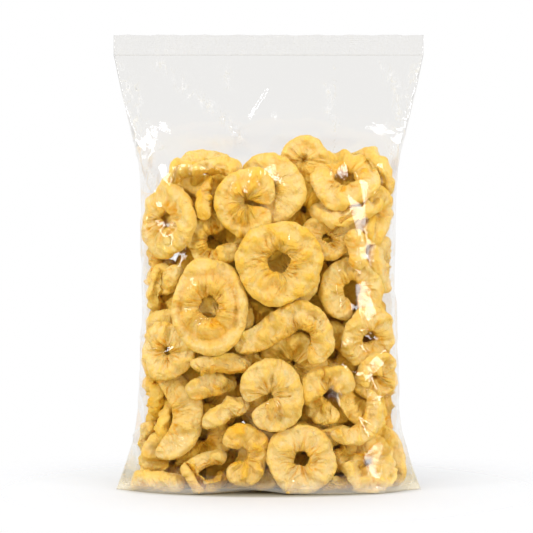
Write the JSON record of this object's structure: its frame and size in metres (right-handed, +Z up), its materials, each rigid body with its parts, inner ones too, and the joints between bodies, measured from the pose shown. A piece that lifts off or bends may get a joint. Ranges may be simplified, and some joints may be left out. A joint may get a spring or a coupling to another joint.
{
  "type": "bag of dried apple rings",
  "caption": "Clear sealed pillow bag packed with dried apple rings, standing on its filled base, with an empty film head, a flat top seal and small bottom corners.",
  "frame": {"origin": "middle of the bag's box, on the floor it stands on", "axes": "+Z up to the top seal, +X to the right of the shown face, -Y out of the shown face"},
  "size_m": [0.2, 0.0684, 0.295],
  "materials": {
    "apple": "dried apple flesh under clear film",
    "film": "clear glossy film"
  },
  "bodies": {
    "root": {"bag_of_apple_rings": "apple"}
  },
  "joints": []
}
